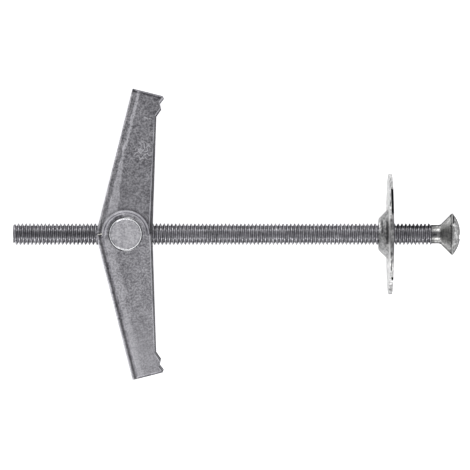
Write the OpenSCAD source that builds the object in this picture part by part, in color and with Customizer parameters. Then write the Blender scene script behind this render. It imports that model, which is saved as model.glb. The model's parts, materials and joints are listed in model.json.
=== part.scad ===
// Spring toggle bolt with a dished washer: a raised countersunk machine screw carries a
// cross-drilled barrel nut, and two folded sheet wings turn on the nut's ends.
// A torsion spring on the nut holds the wings open against each other.
// The bolt frame has X along the screw towards its head, Z along the nut and 0 at the screw's tip.
// The whole bolt is then laid down as it rests: on the washer's rim and on the ears.

/* [Screw] */
// Length from the tip to the head's rim
screw_l = 80; // [60:1:100]
// Diameter over the thread
thread_d = 3.9; // [3.5:0.05:4.2]
// Pitch of the thread
thread_pitch = 0.7; // [0.6:0.05:0.8]
// Depth of the thread
thread_depth = 0.43; // [0.3:0.01:0.48]
// Diameter of the plain neck under the head
neck_d = 3.4; // [3:0.05:3.45]
// Length of the plain neck
neck_l = 1.6; // [0.8:0.1:3]
// Chamfer at the tip
tip_chamfer = 0.35; // [0.1:0.05:0.6]
// Diameter of the head
head_d = 7.6; // [7:0.1:9]
// Width of the band round the head's rim
rim_l = 0.2; // [0.1:0.05:0.5]
// Radius of the head's dome
dome_r = 5.9; // [5.5:0.1:9]
// Full angle of the head's cone and of the washer's cup
cone_angle = 90; // [80:1:100]
// Span of the cross recess
recess_d = 4.4; // [3.8:0.1:4.8]
// Width of the recess's slots
recess_w = 1; // [0.8:0.05:1.2]
// Depth of the recess under the top of the dome
recess_depth = 2.3; // [1.5:0.1:2.6]
// Turn of the recess about the screw
recess_turn = 25; // [0:5:90]

/* [Washer] */
// Outer diameter of the washer
washer_d = 22; // [18:0.5:26]
// Thickness of the washer's sheet
washer_t = 0.7; // [0.5:0.05:0.9]
// Play between the washer's hole and the thread, on the radius
washer_play = 0.25; // [0.15:0.05:0.4]
// Margin between the head's rim and the mouth of the cup
cup_margin = 0.55; // [0.3:0.05:0.9]
// Straight lip round the washer's hole
cup_lip = 0.3; // [0.2:0.05:0.5]
// Inner radius of the bend between the plate and the cup
cup_bend_r = 0.5; // [0.3:0.1:0.8]
// Distance from the head's rim back to the washer's bearing face
washer_back = 11.6; // [8:0.2:18]

/* [Nut] */
// Diameter of the barrel nut
nut_d = 6; // [5.6:0.1:6.2]
// How far each end of the nut stands out of the wings
nut_stand = 0.2; // [0.1:0.05:0.6]
// Chamfer round the nut's ends
nut_chamfer = 0.1; // [0.05:0.05:0.3]
// Width of the raised rim round the nut's ends
nut_rim = 0.2; // [0.1:0.05:0.5]
// Depth of the dished end faces inside the rim
nut_dish = 0.08; // [0.04:0.02:0.2]
// Radial play of the thread in the nut
thread_play = 0.05; // [0.02:0.01:0.1]
// Distance from the screw's tip to the nut's axis
nut_x = 20.6; // [16:0.2:24]

/* [Wings] */
// Length of a wing from the nut's axis to its end
wing_l = 26; // [20:0.5:32]
// Thickness of the wings' sheet
sheet_t = 0.7; // [0.5:0.05:0.8]
// Radius of the ears round the nut
ear_r = 4.43; // [4.2:0.01:4.8]
// Clearance between an ear and the web of the other wing
ear_clear = 0.17; // [0.17:0.01:0.3]
// Gap between two ears that lie face to face
ear_gap = 0.18; // [0.16:0.01:0.25]
// Radial play of the nut in the ears
pivot_play = 0.1; // [0.04:0.01:0.1]
// Outer radius of the bends along the web
bend_r = 1.2; // [0.9:0.05:1.25]
// Lean of the open wings towards the head
wing_rake = 14.1; // [5:0.1:20]
// Angle between the free edge and the web
wing_taper = 12.25; // [10:0.05:13]
// How far the line of the free edge passes the ear's radius at the nut
edge_proud = 0.4; // [0.2:0.02:0.44]
// Distance along the wing where the outer flank leaves its free edge for the ear
shoulder_u = 1.2; // [1:0.1:3]
// Gap between the two web ends that stop each other
stop_gap = 0.2; // [0.1:0.05:0.4]
// Clearance of the web's notch round the thread
notch_clear = 0.45; // [0.3:0.05:0.7]
// Height of the teeth's points over the nut's axis
tooth_tip = 0.58; // [0.3:0.02:0.8]
// Height of the valley between the teeth
tooth_root = 0.1; // [0:0.02:0.2]
// Distance between the two points
tooth_pitch = 2; // [1.6:0.1:2.4]
// Length of a tooth's steep side
tooth_back = 0.95; // [0.7:0.05:1.2]
// Length of the ramp from the free edge to the first point
tooth_ramp = 1.5; // [1:0.1:2]
// Distance from the outer point to the wing's end
tooth_inset = 0.3; // [0.1:0.05:0.6]

/* [Spring] */
// Diameter of the spring's wire
wire_d = 0.5; // [0.4:0.05:0.5]
// Advance of the coil in one turn, over the wire's diameter
coil_gap = 0.02; // [0.01:0.01:0.1]
// Clearance of the coil at the thread, at the ears and round the nut
coil_clear = 0.12; // [0.08:0.01:0.2]
// Distance along a wing to the spring's bridge
leg_u = 8; // [6:0.5:12]
// Clearance of the legs at the wings' webs
leg_clear = 0.08; // [0.05:0.01:0.2]
// Bend radius of the bridge's corners, at the middle of the wire
bridge_r = 0.8; // [0.5:0.1:1.2]

/* [Hidden] */
$fn = 96;
// Small overlap that joins two outlines, and the length by which a cutter passes a face
eps = 0.01;
over = 1;

// Screw: each turn of the thread is a ring of its true section, with sharp crests and flat roots
thread_angle = 60;
thread_sides = 24;
root_r = thread_d / 2 - thread_depth;
root_flat = thread_pitch - 2 * thread_depth * tan(thread_angle / 2);
// The cone's slope and length, the dome's height and top
cone_slope = tan(cone_angle / 2);
cone_l = (head_d - neck_d) / 2 / cone_slope;
neck_x = screw_l - cone_l - neck_l;
dome_h = dome_r - sqrt(dome_r * dome_r - head_d * head_d / 4);
dome_x = screw_l + rim_l + dome_h;
// Angle between the recess's slot ends and the screw, and its round core over its span
recess_flank = 26.5;
core_share = 0.52;
recess_slope = tan(recess_flank);
recess_core = core_share * recess_d;

// Washer: its place, its hole, the cup's mouth on the front face, the plate and the cup's inner end
washer_x = screw_l - washer_back;
hole_r = thread_d / 2 + washer_play;
cup_r = head_d / 2 + cup_margin;
plate_x = washer_x + washer_t;
cup_in_x = plate_x - (cup_r - hole_r) / cone_slope;
cup_tip_x = cup_in_x - cup_lip;
cup_shift = washer_t / cos(cone_angle / 2);

// Nut and channel: the inner ears leave room for the screw and for a coil at each side
coil_turns = 1;
coil_pitch = wire_d + coil_gap;
slot_w = thread_d + 2 * (2 * coil_clear + wire_d + coil_turns * coil_pitch);
inner_z = slot_w / 2;
outer_z = inner_z + sheet_t + ear_gap;
ears_w = 2 * (outer_z + sheet_t);
nut_l = ears_w + 2 * nut_stand;

// Wing, in its own frame: X towards the free edge, Y along the wing, Z along the nut
web_in = ear_r + ear_clear;
web_out = web_in + sheet_t;
edge_x0 = ear_r + edge_proud;
// Flat left beside the bend, where the ear's arc stops short of it
ear_flat = 0.05;
// Clearance of an inner flank's edge under the other wing's web when both are folded
fold_clear = 0.2;
inner_shoulder_u = (edge_x0 - web_in + fold_clear) / tan(wing_taper);
last_point = wing_l - tooth_inset;
first_point = last_point - tooth_pitch;

// Spring
coil_r = nut_d / 2 + coil_clear + wire_d / 2;
inner_coil_z = thread_d / 2 + coil_clear + wire_d / 2;
leg_x = web_in - leg_clear - wire_d / 2;
leg_lean = acos(coil_r / norm([leg_x, leg_u])) - atan2(leg_u, leg_x);
leg_l = sqrt(leg_x * leg_x + leg_u * leg_u - coil_r * coil_r);
leg_turn = wing_rake - leg_lean;

// Rest pose: the bolt stands on the washer's rim and on an ear or on the nut's end
pitch = min(foot_pitch(ear_r, ears_w / 2), foot_pitch(nut_d / 2 - nut_chamfer, nut_l / 2));

// Pitch at which the washer's rim and a foot under the nut are level
function foot_pitch(back, drop) = atan((washer_d / 2 - drop) / (washer_x - nut_x + back));

function free_edge(u) = edge_x0 - u * tan(wing_taper);
function unit(v) = v / norm(v);

// Points that round the corner b between a and c
function round_corner(a, b, c, r, n) =
    let (
        p = unit(a - b),
        q = unit(c - b),
        half = acos(p * q) / 2,
        run = r / tan(half),
        centre = b + unit(p + q) * r / sin(half),
        from = b + p * run - centre,
        to = b + q * run - centre,
        turn = 180 - 2 * half
    )
    [for (i = [0:n]) centre + (sin(turn * (1 - i / n)) * from + sin(turn * i / n) * to) / sin(turn)];

// Lays the bolt frame down, with 0 at the middle of the washer's bearing face
module lie_down() {
    rotate([0, -pitch, 0])
        translate([-washer_x, 0, 0])
            children();
}

// Turns a half profile, with its radius along X and its length along Y, about the screw's axis
module turned() {
    rotate([0, 90, 0])
        rotate([0, 0, 90])
            rotate_extrude()
                children();
}

// Half section of the thread, from the chamfered tip to the neck
module thread_profile() {
    turn = [[thread_d / 2, -thread_pitch / 2], [root_r, -root_flat / 2], [root_r, root_flat / 2]];
    polygon(concat(
        [[0, 0], [thread_d / 2 - tip_chamfer, 0]],
        [for (i = [1:floor(neck_x / thread_pitch)], point = turn) point + [0, i * thread_pitch]],
        [[root_r, neck_x], [0, neck_x]]
    ));
}

// Half section of the neck, cone, rim and dome
module head_profile() {
    polygon([
        [0, neck_x - thread_pitch],
        [root_r, neck_x - thread_pitch],
        [neck_d / 2, neck_x],
        [neck_d / 2, screw_l - cone_l],
        [head_d / 2, screw_l],
        [head_d / 2, screw_l + rim_l],
        [0, screw_l + rim_l]
    ]);
    intersection() {
        translate([0, dome_x - dome_r])
            circle(dome_r);
        translate([0, screw_l + rim_l - eps])
            square([head_d, 2 * dome_h]);
    }
}

module cross_recess() {
    bottom_r = recess_d / 2 - recess_depth * recess_slope;
    translate([dome_x - recess_depth, 0, 0])
        rotate([recess_turn, 0, 0])
            rotate([0, 90, 0])
                intersection() {
                    cylinder(h = recess_depth + over, r1 = bottom_r,
                             r2 = bottom_r + (recess_depth + over) * recess_slope);
                    union() {
                        for (a = [0, 90])
                            rotate([0, 0, a])
                                translate([-recess_d, -recess_w / 2, -over])
                                    cube([2 * recess_d, recess_w, recess_depth + 3 * over]);
                        translate([0, 0, -over])
                            cylinder(h = recess_depth + 3 * over, d = recess_core);
                    }
                }
}

module screw() {
    color("#8d8e92")
        lie_down()
            difference() {
                union() {
                    turned($fn = thread_sides) thread_profile();
                    turned() head_profile();
                }
                cross_recess();
            }
}

module washer_profile() {
    tip_out = [cup_r + cup_shift - (plate_x - cup_tip_x) * cone_slope, cup_tip_x];
    base = [cup_r + cup_shift - washer_t * cone_slope, washer_x];
    mouth = [cup_r, plate_x];
    rim_bearing = [washer_d / 2, washer_x];
    rim_front = [washer_d / 2, plate_x];
    hole_in = [hole_r, cup_in_x];
    polygon(concat(
        [[hole_r, cup_tip_x], tip_out],
        round_corner(tip_out, base, rim_bearing, cup_bend_r, 6),
        [rim_bearing, rim_front],
        round_corner(rim_front, mouth, hole_in, cup_bend_r + washer_t, 6),
        [hole_in]
    ));
}

module washer() {
    color("#a9aaad")
        lie_down()
            turned() washer_profile();
}

module nut() {
    half = nut_l / 2;
    dish_r = nut_d / 2 - nut_chamfer - nut_rim;
    color("#a9adad")
        lie_down()
            translate([nut_x, 0, 0])
                difference() {
                    rotate_extrude()
                        polygon([
                            [0, nut_dish - half],
                            [dish_r - nut_dish, nut_dish - half],
                            [dish_r, -half],
                            [nut_d / 2 - nut_chamfer, -half],
                            [nut_d / 2, nut_chamfer - half],
                            [nut_d / 2, half - nut_chamfer],
                            [nut_d / 2 - nut_chamfer, half],
                            [dish_r, half],
                            [dish_r - nut_dish, half - nut_dish],
                            [0, half - nut_dish]
                        ]);
                    rotate([0, 90, 0])
                        cylinder(h = 2 * nut_d, d = thread_d + 2 * thread_play, center = true);
                }
}

// Rectangle from x to x_end and z to z_end whose corners at x are round
module channel_block(x, x_end, z, z_end, r) {
    translate([x + r, z])
        square([x_end - x - r, z_end - z]);
    translate([x, z + r])
        square([x_end - x, z_end - z - 2 * r]);
    for (corner_z = [z + r, z_end - r])
        translate([x + r, corner_z])
            circle(r);
}

// Section of the folded sheet across the wing
module channel_section() {
    low = -outer_z - sheet_t;
    high = inner_z + sheet_t;
    difference() {
        channel_block(-web_out, web_out + over, low, high, bend_r);
        channel_block(-web_in, web_out + 2 * over, low + sheet_t, high - sheet_t, bend_r - sheet_t);
    }
}

// Side outline of the wing, with the shoulder where a flank's free edge turns into its ear
module wing_outline(shoulder) {
    intersection() {
        circle(ear_r);
        translate([bend_r - web_out + ear_flat, -2 * ear_r])
            square(4 * ear_r);
    }
    polygon([
        [-web_out - over, (stop_gap / 2 - (web_out + over) * sin(wing_rake)) / cos(wing_rake)],
        [-web_out - over, wing_l],
        [tooth_tip - (tooth_tip - tooth_root) * tooth_inset / tooth_back, wing_l],
        [tooth_tip, last_point],
        [tooth_root, first_point + tooth_back],
        [tooth_tip, first_point],
        [free_edge(first_point - tooth_ramp), first_point - tooth_ramp],
        [free_edge(shoulder), shoulder],
        [ear_r - edge_proud, 0],
        [0, stop_gap / 2 / cos(wing_rake)]
    ]);
}

// One wing in its own frame; its outer ear is at -Z and its inner ear at +Z
module wing() {
    difference() {
        intersection() {
            translate([0, wing_l + over, 0])
                rotate([90, 0, 0])
                    linear_extrude(wing_l + 2 * web_out)
                        channel_section();
            union() {
                translate([0, 0, -outer_z - sheet_t - over])
                    linear_extrude(outer_z + sheet_t + over)
                        wing_outline(shoulder_u);
                linear_extrude(inner_z + sheet_t + over)
                    wing_outline(inner_shoulder_u);
            }
        }
        cylinder(h = 4 * outer_z, r = nut_d / 2 + pivot_play, center = true);
        rotate([0, 0, wing_rake])
            translate([-2 * web_out, 0, 0])
                rotate([0, 90, 0])
                    cylinder(h = 2 * web_out - nut_d / 2, r = thread_d / 2 + notch_clear);
    }
}

module wing_upper() {
    color("#85868a")
        lie_down()
            translate([nut_x, 0, 0])
                rotate([0, 0, -wing_rake])
                    wing();
}

module wing_lower() {
    color("#909196")
        lie_down()
            translate([nut_x, 0, 0])
                rotate([180, 0, 0])
                    rotate([0, 0, -wing_rake])
                        wing();
}

// Half of the spring's wire as [point, normal], from the middle of the bridge to a leg's end
function spring_half() =
    let (
        start = 180 - leg_turn,
        sweep = 360 * coil_turns + 2 * leg_turn,
        steps = 24 * coil_turns + 1,
        out = [cos(start), sin(start), 0],
        out_end = [cos(start + sweep), sin(start + sweep), 0],
        z_end = inner_coil_z + coil_pitch * sweep / 360,
        bridge = coil_r * out + leg_l * [sin(leg_turn), cos(leg_turn), 0],
        rise = [0, 0, inner_coil_z],
        corner = round_corner(bridge, bridge + rise, coil_r * out + rise, bridge_r, 5)
    )
    concat(
        [[bridge, out]],
        [for (p = corner) [p, out]],
        [for (i = [0:steps])
            let (a = start + sweep * i / steps, r = [cos(a), sin(a), 0])
            [coil_r * r + [0, 0, inner_coil_z + coil_pitch * sweep * i / steps / 360], r]],
        [[coil_r * out_end + leg_l * [sin(leg_turn), -cos(leg_turn), 0] + [0, 0, z_end], out_end]]
    );

// Round wire along a path of [point, normal]
module wire(path) {
    sides = 8;
    last = len(path) - 1;
    points = [
        for (i = [0:last])
            let (
                along = unit(path[min(i + 1, last)][0] - path[max(i - 1, 0)][0]),
                across = cross(along, path[i][1])
            )
            for (k = [0:sides - 1])
                let (a = 360 * k / sides)
                path[i][0] + wire_d / 2 * (cos(a) * path[i][1] + sin(a) * across)
    ];
    skin = [
        for (i = [0:last - 1], k = [0:sides - 1])
            let (next = (k + 1) % sides)
            [i * sides + k, (i + 1) * sides + k, (i + 1) * sides + next, i * sides + next]
    ];
    polyhedron(points, concat(
        [[for (k = [0:sides - 1]) k]],
        skin,
        [[for (k = [sides - 1:-1:0]) last * sides + k]]
    ));
}

module spring() {
    half = spring_half();
    other = [for (i = [len(half) - 1:-1:1]) [[half[i][0].x, half[i][0].y, -half[i][0].z], half[i][1]]];
    color("#77787c")
        lie_down()
            translate([nut_x, 0, 0])
                wire(concat(other, half));
}

screw();
washer();
nut();
wing_upper();
wing_lower();
spring();
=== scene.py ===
"""Looks of a spring toggle bolt: its rolled thread, folded wings, spring, washer and studio.

All pieces are modelled in millimetres in the bolt's own axes (X along the screw towards its
head, Z along the nut, 0 at the screw's tip) and then laid into the row frame, in metres.
"""

import json
import logging
import math
from dataclasses import dataclass
from enum import Enum
from itertools import pairwise
from typing import Any, Iterable, Sequence

import bpy
from mathutils import Matrix, Vector


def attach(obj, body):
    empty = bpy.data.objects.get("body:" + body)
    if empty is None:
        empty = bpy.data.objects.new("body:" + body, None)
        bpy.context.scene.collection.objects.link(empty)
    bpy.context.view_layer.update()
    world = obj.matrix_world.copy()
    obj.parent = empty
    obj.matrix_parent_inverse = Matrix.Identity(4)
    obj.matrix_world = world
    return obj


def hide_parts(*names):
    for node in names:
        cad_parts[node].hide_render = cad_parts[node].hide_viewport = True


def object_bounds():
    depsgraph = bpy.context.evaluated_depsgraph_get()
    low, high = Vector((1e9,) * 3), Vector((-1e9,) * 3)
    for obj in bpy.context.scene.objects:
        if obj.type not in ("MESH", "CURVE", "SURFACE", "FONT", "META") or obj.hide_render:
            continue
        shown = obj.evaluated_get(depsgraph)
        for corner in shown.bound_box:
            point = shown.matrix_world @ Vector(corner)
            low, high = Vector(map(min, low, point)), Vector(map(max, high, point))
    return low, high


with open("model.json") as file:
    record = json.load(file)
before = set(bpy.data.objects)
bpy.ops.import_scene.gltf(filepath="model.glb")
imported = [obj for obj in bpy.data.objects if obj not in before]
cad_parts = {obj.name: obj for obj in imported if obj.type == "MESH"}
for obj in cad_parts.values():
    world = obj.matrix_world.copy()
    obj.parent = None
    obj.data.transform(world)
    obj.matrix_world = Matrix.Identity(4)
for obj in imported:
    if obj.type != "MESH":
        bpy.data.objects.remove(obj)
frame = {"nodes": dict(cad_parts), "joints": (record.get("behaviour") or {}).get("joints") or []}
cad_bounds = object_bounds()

Piece = bpy.types.Object
Tree = bpy.types.NodeTree
Socket = bpy.types.NodeSocket
Pairs = Sequence[tuple[float, float]]

log = logging.getLogger("toggle_bolt")

MM = 0.001
# How far a cutting tool goes past the solid, and how near vertices become one.
TOOL_REACH = 1.0
WELD = 1e-4
# X of the nut's axis, on which both wings and the spring turn, and the way to it.
NUT_X = 20.6
TO_NUT = Matrix.Translation((NUT_X, 0, 0))
# Lean of the open wings from square to the screw, in degrees; they fold by the rest of 90.
WING_RAKE = 14.1
AXIS_X = Vector((1, 0, 0))
AXIS_Z = Vector((0, 0, 1))
# Share of its radius at which the arc of a 45-degree bend begins before the corner.
HALF_BEND = math.tan(math.radians(22.5))
# Tone at which a finish shows its dark colour; below it, it goes on to its deep one.
BARE = 0.3
# Values of a noise between which a layer of mottling goes from dark to light.
PATCHES = (0.40, 0.62)
# How far the ragged edge of a mark wanders, in millimetres.
WOBBLE = 0.5
# Noises that make limits uneven, by their features per millimetre: the edges of marks, the
# rubbed band of a wing and the darker stretches of the washer's edge, one of them painted shade.
RAGGED = {"Scale": 2.4, "Detail": 3.0}
WAVY = {"Scale": 0.5, "Detail": 3.0}
WASHER_EDGE_NOISE = {"Scale": 1.6, "Detail": 4.0, "Roughness": 0.7}
# Angles in degrees: from which an edge is rounded, and under which two faces are one plane.
SHARP = 30.0
FLAT = 0.3
# Angle over which the edges at the ends of a wire stay sharp.
WIRE_CREASE = 40.0


# ---------------------------------------------------------------- bolt frame


class Side(Enum):
    """The two wings, by their side of the screw."""

    UPPER = "upper"
    LOWER = "lower"


@dataclass(frozen=True)
class BoltFrame:
    """The bolt's own axes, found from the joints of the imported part."""

    to_row: Matrix

    @classmethod
    def from_joints(cls, joints: Sequence[dict[str, Any]]) -> "BoltFrame":
        """Finds the axes from the nut's slide and the lower wing's hinge.

        Args:
            joints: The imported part's joints.

        Returns:
            The frame, with the nut's axis at NUT_X.
        """
        by_name = {joint["name"]: joint for joint in joints}
        along = Vector(by_name["nut_travel"]["axis"])
        across = Vector(by_name["wing_lower_fold"]["axis"])
        pivot = Vector(by_name["wing_lower_fold"]["pos_m"])
        turn = Matrix((along, across.cross(along), across)).transposed().to_4x4()
        tip = pivot - along * NUT_X * MM
        return cls(Matrix.Translation(tip) @ turn @ Matrix.Scale(MM, 4))

    @property
    def from_row(self) -> Matrix:
        """Matrix from the row frame, in metres, to the bolt's millimetres."""
        return self.to_row.inverted()

    def point(self, x: float, y: float, z: float) -> Vector:
        """Returns the row-frame place, in metres, of a point in the bolt's millimetres."""
        return self.to_row @ Vector((x, y, z))

    def lay(self, obj: Piece) -> None:
        """Moves a finished mesh from the bolt's millimetres into the row frame."""
        obj.data.transform(self.to_row)
        obj.data.update()


# ---------------------------------------------------------------- modelling


def select_only(*objects: Piece) -> None:
    """Selects some objects and nothing else.

    Args:
        *objects: The objects, of which the first becomes active.
    """
    bpy.ops.object.select_all(action="DESELECT")
    for obj in objects:
        obj.select_set(True)
    bpy.context.view_layer.objects.active = objects[0]


def add_primitive(kind: str, **settings: Any) -> Piece:
    """Adds one of Blender's mesh primitives, with nothing else selected.

    Args:
        kind: Which one, such as plane or cube.
        **settings: Its size, place and turn.

    Returns:
        The new object.
    """
    bpy.ops.object.select_all(action="DESELECT")
    getattr(bpy.ops.mesh, f"primitive_{kind}_add")(**settings)
    return bpy.context.object


def begin_edit(obj: Piece) -> None:
    """Opens a mesh for editing, with everything selected.

    Args:
        obj: The mesh's object.
    """
    select_only(obj)
    bpy.ops.object.mode_set(mode="EDIT")
    bpy.ops.mesh.select_all(action="SELECT")


def end_edit() -> None:
    """Closes the mesh that is being edited."""
    bpy.ops.object.mode_set(mode="OBJECT")


def draw_line(name: str, points: Sequence[Vector]) -> Piece:
    """Draws a line of edges by extruding one vertex from point to point.

    Args:
        name: Name of the new object.
        points: The line's points; where the last is the first, the line is closed.

    Returns:
        The new object, with its place in its mesh.
    """
    obj = add_primitive("plane", location=points[0])
    obj.name = name
    begin_edit(obj)
    bpy.ops.mesh.merge(type="CENTER")
    for start, end in pairwise(points):
        bpy.ops.mesh.extrude_vertices_move(TRANSFORM_OT_translate={"value": end - start})
    end_edit()
    bpy.ops.object.transform_apply(location=True)
    return obj


def close_mesh(obj: Piece) -> None:
    """Merges doubled vertices and turns all faces outwards.

    Args:
        obj: The solid.
    """
    begin_edit(obj)
    bpy.ops.mesh.remove_doubles(threshold=WELD)
    bpy.ops.mesh.select_all(action="SELECT")
    bpy.ops.mesh.normals_make_consistent(inside=False)
    end_edit()


def turn_profile(name: str, profile: Pairs, steps: int, axis: Vector = AXIS_X) -> Piece:
    """Turns a profile about an axis through the origin, as on a lathe.

    Args:
        name: Name of the new object.
        profile: Pairs of radius and place along the axis.
        steps: Number of steps round the axis.
        axis: Unit axis, X or Z.

    Returns:
        The closed solid.
    """
    side = Vector((0.0, 1.0, 0.0))
    obj = draw_line(name, [side * radius + axis * place for radius, place in profile])
    begin_edit(obj)
    bpy.ops.mesh.spin(steps=steps, angle=math.tau, center=(0, 0, 0), axis=axis)
    end_edit()
    close_mesh(obj)
    return obj


def fill_section(name: str, section: Sequence[Vector]) -> Piece:
    """Draws a closed section and fills it.

    Args:
        name: Name of the new object.
        section: The section's corners in order.

    Returns:
        The new object, open for editing and all selected.
    """
    obj = draw_line(name, [*section, section[0]])
    begin_edit(obj)
    bpy.ops.mesh.remove_doubles(threshold=WELD)
    bpy.ops.mesh.edge_face_add()
    return obj


def arc(centre: tuple[float, float], radius: float, start: float, end: float, steps: int) -> Pairs:
    """Returns points of a circular arc, from the start angle to the end angle in degrees."""
    angles = [math.radians(start + (end - start) * i / steps) for i in range(steps + 1)]
    return [(centre[0] + radius * math.cos(a), centre[1] + radius * math.sin(a)) for a in angles]


def near(corner: tuple[float, float], steps: Pairs) -> Pairs:
    """Returns the points that lie the given steps away from a corner of a profile."""
    return [(corner[0] + right, corner[1] + up) for right, up in steps]


def apply_modifier(obj: Piece, modifier: bpy.types.Modifier) -> None:
    """Applies a modifier, with obj as the only selected object."""
    select_only(obj)
    bpy.ops.object.modifier_apply(modifier=modifier.name)


class Action(Enum):
    """What a tool does to a solid, by the names of Blender's booleans."""

    CUT = "DIFFERENCE"
    LIMIT = "INTERSECT"
    JOIN = "UNION"


def use_tool(obj: Piece, tool: Piece, action: Action = Action.CUT) -> None:
    """Cuts, limits or joins a solid with another one, which is used up.

    Args:
        obj: Solid that is changed.
        tool: The other solid.
        action: What it does.
    """
    modifier = obj.modifiers.new("tool", "BOOLEAN")
    modifier.object = tool
    modifier.operation = action.value
    modifier.solver = "EXACT"
    apply_modifier(obj, modifier)
    bpy.data.objects.remove(tool)


def round_edges(obj: Piece, width: float, segments: int, slot: int) -> None:
    """Rounds the sharp edges of a solid.

    Args:
        obj: Solid whose edges are rounded.
        width: Width of the rounding in millimetres.
        segments: Number of faces across the rounding.
        slot: Index of the material that the rounding gets.
    """
    modifier = obj.modifiers.new("round", "BEVEL")
    modifier.width = width
    modifier.segments = segments
    modifier.limit_method = "ANGLE"
    modifier.angle_limit = math.radians(SHARP)
    modifier.material = slot
    apply_modifier(obj, modifier)


def smooth(obj: Piece, angle: float) -> None:
    """Shades obj smooth, apart from edges sharper than the angle in degrees."""
    select_only(obj)
    bpy.ops.object.shade_smooth_by_angle(angle=math.radians(angle))


def bend_wire(name: str, route: Sequence[Vector], radius: float, roundness: int) -> Piece:
    """Gives a line a round section, moves it from the nut's axis and closes its ends.

    Args:
        name: Name of the new object.
        route: Points of its middle line, with the nut's axis at X 0.
        radius: Radius of its section.
        roundness: Blender's bevel resolution of the section.

    Returns:
        The wire as a closed mesh in the bolt's millimetres.
    """
    wire = draw_line(name, route)
    select_only(wire)
    bpy.ops.object.convert(target="CURVE")
    wire.data.bevel_depth = radius
    wire.data.bevel_resolution = roundness
    wire.data.use_fill_caps = True
    bpy.ops.object.convert(target="MESH")
    wire.data.transform(TO_NUT)
    close_mesh(wire)
    smooth(wire, WIRE_CREASE)
    return wire


def copy_node(bolt: BoltFrame, node: str, name: str) -> Piece:
    """Copies a CAD node as a welded mesh in the bolt's millimetres.

    Args:
        bolt: The bolt's axes.
        node: Name of the CAD node.
        name: Name of the new piece.

    Returns:
        The copy, with flat faces joined where they lie in one plane.
    """
    source = frame["nodes"][node]
    obj = bpy.data.objects.new(name, source.data.copy())
    bpy.context.scene.collection.objects.link(obj)
    obj.data.transform(bolt.from_row)
    obj.data.materials.clear()
    begin_edit(obj)
    bpy.ops.mesh.customdata_custom_splitnormals_clear()
    bpy.ops.mesh.remove_doubles(threshold=WELD)
    bpy.ops.mesh.select_all(action="SELECT")
    bpy.ops.mesh.dissolve_limited(angle_limit=math.radians(FLAT))
    end_edit()
    return obj


# ---------------------------------------------------------------- finishes


def linear(hex_colour: str) -> tuple[float, float, float, float]:
    """Turns an sRGB colour into Blender's linear one.

    Args:
        hex_colour: The colour, such as #a0a1a4.

    Returns:
        Red, green, blue and an alpha of 1.
    """
    parts = [int(hex_colour[i : i + 2], 16) / 255 for i in (1, 3, 5)]
    values = [c / 12.92 if c <= 0.04045 else ((c + 0.055) / 1.055) ** 2.4 for c in parts]
    return (*values, 1.0)


def plug(tree: Tree, node: bpy.types.Node, inputs: dict[str | int, Any] | Sequence[Any]) -> None:
    """Sets or links the inputs of a node.

    Args:
        tree: The node's tree.
        node: Node whose inputs are filled.
        inputs: Values or other nodes' outputs, by the inputs' names or in their order.
    """
    for key, value in inputs.items() if isinstance(inputs, dict) else enumerate(inputs):
        if isinstance(value, Socket):
            tree.links.new(value, node.inputs[key])
        else:
            node.inputs[key].default_value = value


def add_node(
    tree: Tree,
    kind: str,
    inputs: dict[str | int, Any] | Sequence[Any] = (),
    output: str | int = 0,
    **settings: Any,
) -> Socket:
    """Adds a shader node with its settings and links.

    Args:
        tree: Tree that gets the node.
        kind: Blender's type name of the node, without the ShaderNode before it.
        inputs: Values or other nodes' outputs, by the inputs' names or in their order.
        output: Name or number of the output that is wanted.
        **settings: Properties of the node.

    Returns:
        That output of the new node.
    """
    node = tree.nodes.new(f"ShaderNode{kind}")
    for key, value in settings.items():
        setattr(node, key, value)
    plug(tree, node, inputs)
    return node.outputs[output]


def distance_from(tree: Tree, place: Socket, across: Sequence[float], off: Sequence[float]) -> Socket:
    """Adds the distance of a place from a line along an axis.

    Args:
        tree: Tree of the material.
        place: Coordinates in millimetres.
        across: 0 for the line's own axis and 1 for the other two.
        off: Where the line crosses those two, with its signs turned round.

    Returns:
        The distance in millimetres.
    """
    flat = add_node(tree, "VectorMath", (place, across, off), operation="MULTIPLY_ADD")
    return add_node(tree, "VectorMath", (flat,), "Value", operation="LENGTH")


@dataclass(frozen=True)
class Mottle:
    """One layer of a finish's mottling.

    Its features are size_mm wide, stretch times as long in a direction turned by turn degrees
    about Z, and have a share of the tone. With lines above 0, it is lines of that width where
    the noise passes its middle, as tumbling scratches zinc, and otherwise patches.
    """

    size_mm: float
    share: float
    stretch: float = 1.0
    turn: float = 0.0
    lines: float = 0.0
    detail: float = 2.0

    def value(self, tree: Tree, place: Socket) -> Socket:
        """Adds the layer.

        Args:
            tree: Tree of the material.
            place: Coordinates in millimetres.

        Returns:
            The layer's value, from 0 to 1.
        """
        if self.stretch != 1.0:
            turn = (0.0, 0.0, math.radians(self.turn))
            inputs = {"Vector": place, "Rotation": turn, "Scale": (self.stretch, 1.0, 1.0)}
            place = add_node(tree, "Mapping", inputs, vector_type="TEXTURE")
        noise = {"Vector": place, "Scale": 1 / self.size_mm, "Detail": self.detail}
        value, span = add_node(tree, "TexNoise", noise), PATCHES
        if self.lines:
            value = add_node(tree, "Math", (value, 0.5), operation="PINGPONG")
            span = (0.5 - self.lines, 0.5)
        return add_node(tree, "MapRange", (value, *span))


# Curled light nicks that one bolt rubs into the next.
NICKS = Mottle(0.75, 1.0, lines=0.06, detail=0.0)


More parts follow.
